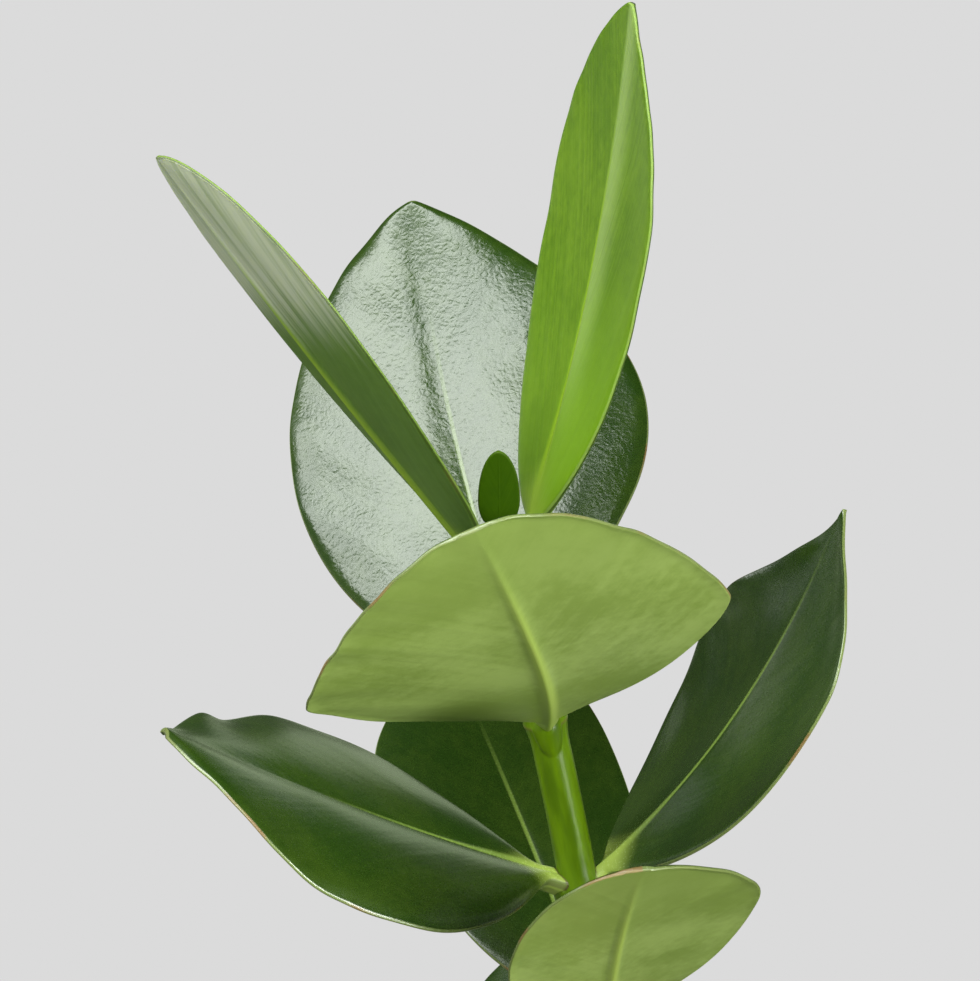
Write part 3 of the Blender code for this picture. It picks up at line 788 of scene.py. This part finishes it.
class Web:
    """A node tree and the ways to add to it."""

    def __init__(self, tree):
        self.tree = tree

    def node(self, kind, settings=None, values=None):
        made = self.tree.nodes.new(kind)
        for name, value in (settings or {}).items():
            setattr(made, name, value)
        for key, value in (values or {}).items():
            self.feed(made.inputs[key], value)
        return Link(self, next(socket for socket in made.outputs if socket.enabled))

    def feed(self, socket, value):
        if isinstance(value, Link):
            self.tree.links.new(value.socket, socket)
        else:
            socket.default_value = value

    def read(self, attribute, output="Fac"):
        return self.node("ShaderNodeAttribute", {"attribute_name": attribute}).output(output)

    def place(self):
        return self.node("ShaderNodeTexCoord").output("Object")

    def parts(self, vector):
        split = self.node("ShaderNodeSeparateXYZ", None, {0: vector})
        return split.output("X"), split.output("Y"), split.output("Z")

    def vector(self, x, y, z):
        return self.node("ShaderNodeCombineXYZ", None, {0: x, 1: y, 2: z})

    def noise(self, vector, scale, detail=2.0, roughness=0.5):
        return self.node("ShaderNodeTexNoise", None, {
            "Vector": vector, "Scale": scale, "Detail": detail, "Roughness": roughness})

    def cells(self, vector, scale):
        """Distance from the lines between cells of random shape."""
        values = {"Vector": vector, "Scale": scale}
        return self.node("ShaderNodeTexVoronoi", {"feature": "DISTANCE_TO_EDGE"}, values)

    def ramp(self, value, low, high, start=0.0, end=1.0):
        """A value that goes smoothly from start to end as another goes from low to high."""
        return self.node("ShaderNodeMapRange", {"interpolation_type": "SMOOTHSTEP"}, {
            "Value": value, "From Min": low, "From Max": high, "To Min": start, "To Max": end})

    def blend(self, share, first, second):
        """Two colours mixed by a share."""
        colours = [c if isinstance(c, Link) else (*c, 1.0) for c in (first, second)]
        return self.node("ShaderNodeMix", {"data_type": "RGBA"}, {0: share, 6: colours[0], 7: colours[1]})


class Finish(Web):
    """One procedural material on the Principled surface."""

    def __init__(self, name):
        self.material = bpy.data.materials.new(name)
        self.material.use_nodes = True
        super().__init__(self.material.node_tree)
        self.surface = self.tree.nodes["Principled BSDF"]

    def relief(self, height, distance, strength=1.0):
        values = {"Height": height, "Distance": distance, "Strength": strength}
        self.wear(Normal=self.node("ShaderNodeBump", None, values))

    def wear(self, **sockets):
        """Sets or links the surface's own sockets."""
        for name, value in sockets.items():
            self.feed(self.surface.inputs[name.replace("_", " ")], value)


# Finishes
class LeafFinish(Finish):
    """Leathery leaf: waxy wrinkled upper face, paler satin underside, yellowish rib and pale margin.

    along and out are places on the blade, number tells one leaf from another and half one half from the
    other. upper is 1 on the upper face, grown 0 on the smallest leaves, coarse 1 on the most uneven blade,
    and fan 1 at the pale foot of the blade, where the rib opens out into the petiole.
    """

    def __init__(self, name, look):
        super().__init__(name)
        self.look = look
        self.along, self.out, self.number = self.parts(self.read("blade_place", "Vector"))
        self.upper = self.ramp(self.read("upper_face"), 0.45, 0.55)
        self.part = self.read("blade_part")
        self.leaf_size = self.read("leaf_size")
        self.grown = self.ramp(self.leaf_size, 0.3, 0.6)
        self.coarse = self.ramp(self.read("unrest"), 1.0, 1.6)
        self.aside = abs(self.out)
        self.ribward = self.aside / self.leaf_size
        self.fan = self.ramp(self.part + self.ribward * 9.0, 0.15, 0.02) * self.grown * 0.85
        self.half = self.number + self.out.math("SIGN", self.out) * 0.3
        self.patterns()
        self.paint()
        self.wrinkle()

    def patterns(self):
        """The random patterns: flat ones over the blade, and ones drawn out along the side veins."""
        self.flat = self.vector(self.along, self.out, self.number)
        veins = self.vector(self.along - self.aside * self.look.slant, self.aside * 0.05, self.half)
        self.patches = self.noise(self.flat, 40.0, 3.0)
        self.streaks = self.noise(veins, 620.0, 3.0, 0.6)
        self.side_veins = self.noise(veins, 190.0, 1.0)
        self.fine = self.noise(self.flat, 1500.0, 3.0, 0.6)
        self.speckle = self.noise(self.flat, 350.0, 3.0, 0.65)

    def mottle(self):
        fibrous = 0.28 - self.look.leather * 0.18
        patchy = self.patches * (0.60 - fibrous) + self.streaks * fibrous
        return self.ramp(patchy + self.side_veins * 0.12 + self.speckle * 0.28, 0.38, 0.62)

    def upper_green(self, mottle):
        """The upper face: mottled, a band of painted sheen and painted light shining through on a young
        leaf, and the rib.
        """
        look, out, part = self.look, self.out, self.part
        green = self.blend(mottle, look.top_deep, look.top)
        # A band of painted sheen beside the rib on the right half of a young leaf.
        band = self.ramp(out, -0.013, -0.002) * self.ramp(out, 0.001, -0.001) * self.ramp(part, 0.12, 0.35)
        green = self.blend(band * (0.6 + self.streaks * 0.8) * look.bloom, green, PAINTED_SHEEN_BAND)
        # Painted light shining through, strongest on the right half towards the foot of a young leaf.
        painted_glow = self.ramp(out, 0.004, -0.004, 0.35, 1.0) * self.ramp(part, 0.60, 0.15)
        green = self.blend(painted_glow * look.bloom * 1.5 * self.leaf_size, green, LIT_THROUGH)
        rib_half = self.ramp(part, 0.0, 0.30, 0.0019, 0.00055)
        rib = self.ramp(self.ribward / rib_half, 1.3, 0.4) * self.grown
        rib = rib * self.ramp(part / self.read("rib_seen"), 1.0, 0.4)
        rib = rib * self.ramp(self.fine, 0.2, 0.5, 0.55, 0.95) * (1 - self.coarse * 0.5)
        return self.blend(self.fan, self.blend(rib, green, look.rib), look.rib_below)

    def lower_green(self, mottle):
        """The underside: mottled, with painted shade beside the rib and deepening towards the tip, and
        greyed on its outer part by a painted reflection where a leaf has one.
        """
        look, out, part = self.look, self.out, self.part
        green = self.blend(mottle, look.below_deep, look.below)
        # Painted shade beside the rib, on the underside's right half near the foot.
        shade = self.ramp(out, -0.004, -0.018) * self.ramp(out, -0.036, -0.020)
        shade = shade * self.ramp(part, 0.55, 0.10) * look.leather
        green = self.blend(shade * 0.6, green, UNDER_SHADE)
        # Painted shade, deepening towards the tip.
        green = self.blend(self.ramp(part, 0.50, 0.95) * 0.7 * look.leather, green, look.below_deep)
        lengthwise = self.noise(self.vector(self.along * 0.04, out, self.number), 330.0, 2.0, 0.6)
        # A painted grey reflection on the outer part of the underside, streaked lengthwise.
        painted_reflection_mask = self.ramp(part + (lengthwise - 0.5) * 0.26, 0.52, 0.72) * self.grown
        painted_reflection_mask = painted_reflection_mask * self.ramp(lengthwise, 0.25, 0.60, 0.55, 1.0)
        green = self.blend(painted_reflection_mask * self.read("silvered") * 0.88, green, PAINTED_REFLECTION_GREY)
        keel_half = self.ramp(part, 0.0, 0.6, 0.0026, 0.0012)
        keel = self.ramp(self.ribward / keel_half, 1.2, 0.3) * self.ramp(part, 0.95, 0.5) * self.grown
        return self.blend(keel.most(self.fan), green, look.rib_below)

    def edged(self, green):
        """The pale margin, browned in places on a mature leaf, and the corky scar next to the stem."""
        look = self.look
        rim = self.ramp(self.read("from_edge") + (self.fine - 0.5) * 0.00012, 0.00034, 0.00015)
        browned = self.noise(self.vector(self.along, self.number, self.half), 70.0, 2.0)
        browned = self.ramp(browned, 0.52, 0.64) * 0.75 * look.leather
        edging = self.blend(browned, self.blend(self.upper, look.edge_below, look.edge), BROWNED_EDGE)
        green = self.blend(rim * 0.8, green, edging)
        scar = self.ramp(self.read("from_stem") + self.fine * 0.0006, 0.0011, 0.0004)
        return self.blend(scar * 0.8, green, STALK_SCAR)

    def paint(self):
        look = self.look
        mottle = self.mottle()
        green = self.edged(self.blend(self.upper, self.lower_green(mottle), self.upper_green(mottle)))
        self.wear(Base_Color=green, Specular_IOR_Level=look.shine, Specular_Tint=(0.95, 1.0, 0.95, 1.0))
        self.wear(Roughness=look.gloss + (1 - self.upper) * 0.10 + self.fine * 0.04)
        self.wear(
            Subsurface_Weight=look.seep, Subsurface_Radius=(1.0, 1.0, 0.25), Subsurface_Scale=0.0012)

    def wrinkle(self):
        """Relief: small cushions and crinkles on a leathery upper face, fibres and side veins on all."""
        leather = self.look.leather
        bent_along = self.along + self.fine * 0.0005 + self.patches * 0.004
        bent = self.vector(bent_along, self.out + self.speckle * 0.0010, self.number)
        cushions = self.ramp(self.cells(bent, 780.0), 0.0, 0.35)
        crinkles = self.noise(bent, 560.0, 1.5, 0.5)
        hide = cushions * 0.14 + crinkles * 0.62 + self.noise(self.flat, 130.0, 1.0) * 0.4
        hide = hide * self.ramp(self.coarse, 0.0, 1.0, 0.4, 1.5)
        fibres = self.fine * 0.05 * leather + self.streaks * (0.45 - leather * 0.3)
        self.relief(hide * self.upper * leather + fibres + self.side_veins * 0.6, 0.00012)


def stem_finish():
    """Smooth green young stem that turns to fissured brown bark towards the soil."""
    stem = Finish("stem_bark")
    across, deep, height = stem.parts(stem.read("stem_place", "Vector"))
    blotches = stem.noise(stem.vector(across, deep, height * 40.0), 1.3, 3.0)
    lines = stem.noise(stem.vector(across * 6.0, deep * 6.0, height * 30.0), 3.0, 4.0)
    green = stem.blend(stem.ramp(blotches, 0.35, 0.65), (0.055, 0.112, 0.001), (0.095, 0.180, 0.002))
    bark = stem.blend(stem.ramp(lines, 0.35, 0.65), (0.075, 0.060, 0.026), (0.16, 0.125, 0.055))
    aged = stem.ramp(height + blotches * 0.06, 0.235, 0.155)
    colour = stem.blend(aged, green, bark)
    ring = stem.ramp(stem.read("joint_ring") + (lines - 0.5) * 0.5, 0.45, 0.9)
    colour = stem.blend(ring * 0.6, colour, (0.13, 0.11, 0.03))
    scar = stem.read("old_scar")
    colour = stem.blend(scar * 0.8, colour, stem.blend(lines, (0.08, 0.045, 0.02), (0.24, 0.16, 0.08)))
    stem.wear(Base_Color=colour, Specular_IOR_Level=0.3, Roughness=0.28 + aged * 0.3)
    stem.relief(lines * (0.3 + aged) + blotches, 0.0002, 0.6)
    stem.wear(Subsurface_Weight=0.15, Subsurface_Radius=(1.0, 1.0, 0.3), Subsurface_Scale=0.0015)
    return stem.material


def clay_finish():
    """Unglazed red clay with throwing lines, grit and a pale lime bloom."""
    clay = Finish("terracotta")
    place = clay.place()
    x, y, z = clay.parts(place)
    cloud = clay.noise(place, 18.0, 4.0)
    grit = clay.noise(place, 600.0, 3.0, 0.7)
    turning = clay.noise(clay.vector(x * 4.0, y * 4.0, z * 260.0), 1.0, 3.0)
    mottle = clay.ramp(cloud * 0.7 + grit * 0.3, 0.35, 0.65)
    colour = clay.blend(mottle, (0.33, 0.125, 0.060), (0.47, 0.215, 0.115))
    bloom = clay.ramp(cloud + grit * 0.3 + clay.ramp(z, 0.045, 0.0, 0.0, 0.12), 0.72, 0.92)
    colour = clay.blend(bloom * 0.5, colour, (0.60, 0.47, 0.38))
    clay.wear(Base_Color=colour, Roughness=0.78 + grit * 0.12)
    clay.relief(grit * 0.5 + turning * 0.6, 0.0004)
    return clay.material


def soil_finish(name, dark, light):
    """Dark, damp, crumbly matter with paler fibres."""
    soil = Finish(name)
    place = soil.place()
    crumbs = soil.noise(place, 420.0, 4.0, 0.65)
    patches = soil.noise(place, 60.0, 2.0)
    soil.wear(Base_Color=soil.blend(soil.ramp(crumbs * 0.7 + patches * 0.3, 0.35, 0.70), dark, light))
    soil.wear(Roughness=0.80 + patches * 0.2)
    soil.relief(crumbs, 0.0008)
    return soil.material


def floor_finish():
    """Paper that fades out towards its rim, pale for the camera and dark for what the plant mirrors."""
    paper = Finish("pale_paper")
    x, y, _ = paper.parts(paper.place())
    away = (x * x + y * y) ** 0.5
    grain = paper.noise(paper.place(), 300.0, 2.0)
    seen = paper.node("ShaderNodeLightPath").output("Is Camera Ray")
    pale = paper.blend(grain, (0.22, 0.22, 0.22), (0.25, 0.25, 0.25))
    paper.wear(Base_Color=paper.blend(seen, (0.03, 0.03, 0.03), pale), Roughness=0.9)
    solid = Link(paper, paper.surface.outputs[0])
    clear = paper.node("ShaderNodeBsdfTransparent")
    fade = paper.ramp(away, FADE_FROM, FADE_TO) * seen
    mixed = paper.node("ShaderNodeMixShader", None, {0: fade, 1: solid, 2: clear})
    paper.feed(paper.tree.nodes["Material Output"].inputs["Surface"], mixed)
    return paper.material


# The studio
def soft_box(panel):
    """A soft light panel that the camera doesn't see."""
    nothing_selected()
    bpy.ops.object.light_add(type="AREA", location=panel.place)
    lamp = bpy.context.object
    lamp.name = panel.name
    lamp.rotation_mode = "QUATERNION"
    lamp.rotation_quaternion = (Vector(panel.aim) - Vector(panel.place)).to_track_quat("-Z", "Y")
    lamp.data.shape = "RECTANGLE"
    lamp.data.size = panel.width
    lamp.data.size_y = panel.height
    lamp.data.energy = panel.brightness * math.pi * panel.width * panel.height
    lamp.visible_camera = False


def room():
    """An even pale backdrop for the camera. The plant mirrors a dark room, a pale wall and a pale ground."""
    world = bpy.data.worlds.new("pale_room")
    world.use_nodes = True
    web = Web(world.node_tree)
    aside, back, up = web.parts(web.node("ShaderNodeTexCoord").output("Generated"))
    above = web.ramp(up, *CEILING_SPAN, ROOM_LEVEL, ROOM_CEILING)
    bright = above + web.ramp(up, *GROUND_SPAN) * (ROOM_BELOW - above)
    slope = aside / back
    wall = web.ramp(slope, *WALL_NEAR_END) * web.ramp(slope, *WALL_FAR_END)
    wall = wall * web.ramp(back, *WALL_BACK_SPAN) * web.ramp(up, *WALL_TOP_SPAN)
    bright = bright.most(wall * ROOM_WALL)
    seen = web.node("ShaderNodeLightPath").output("Is Camera Ray")
    mirrored = web.vector(*(bright * share for share in ROOM_TINT))
    surface = world.node_tree.nodes["Background"]
    web.feed(surface.inputs["Color"], web.blend(seen, mirrored, (BACKDROP, BACKDROP, BACKDROP)))
    bpy.context.scene.world = world
    bpy.context.scene.view_settings.view_transform = "Standard"


def floor():
    nothing_selected()
    bpy.ops.mesh.primitive_circle_add(
        vertices=FLOOR_SIDES, radius=FLOOR_RADIUS, location=(0, 0, -GAP), fill_type="NGON")
    paper = bpy.context.object
    paper.name = "floor"
    bpy.ops.object.transform_apply(location=True, rotation=True, scale=True)
    paper.data.materials.append(floor_finish())


def camera():
    down = math.radians(LOOK_DOWN)
    x, y, z = LOOK_AT
    place = (x, y - LOOK_FROM * math.cos(down), z + LOOK_FROM * math.sin(down))
    bpy.ops.object.camera_add(location=place, rotation=(math.pi / 2 - down, 0.0, 0.0))
    made = bpy.context.object
    made.data.lens = LENS
    made.data.clip_start = 0.01
    bpy.context.scene.camera = made


def add_studio():
    room()
    camera()
    floor()
    for panel in PANELS:
        soft_box(panel)


def add_leaves():
    bud = LeafFinish("bud_leaf", BUD_LOOK).material
    young = LeafFinish("young_leaf", YOUNG_LOOK).material
    mature = LeafFinish("mature_leaf", MATURE_LOOK).material
    for seed, (name, leaf) in enumerate(ALL_LEAVES.items()):
        skin = leaf_skin(name + "_blade", leaf, seed, HABITS.get(name, Habit()))
        slot, material = ("young_leaf", young) if name in YOUNG_LEAVES else ("mature_leaf", mature)
        if leaf.joint == JOINT_TIP:
            material = bud
        stands_for(skin, name, material)


def add_soil():
    damp = soil_finish("potting_soil", (0.012, 0.008, 0.005), (0.055, 0.034, 0.020))
    stands_for(soil_fill(), "soil", damp)
    crumbs = scattered(CRUMBS)
    chips = scattered(CHIPS)
    crumbly = soil_finish("soil_crumb", (0.014, 0.009, 0.005), (0.070, 0.043, 0.024))
    stands_for(crumbs, "soil", crumbly)
    bark = soil_finish("bark_chip", (0.050, 0.026, 0.012), (0.16, 0.085, 0.040))
    stands_for(chips, "soil", bark)


def main():
    nothing_selected()
    add_studio()
    add_leaves()
    stands_for(stem_skin(), "stem", stem_finish())
    stands_for(thrown_pot(), "pot", clay_finish())
    add_soil()


main()
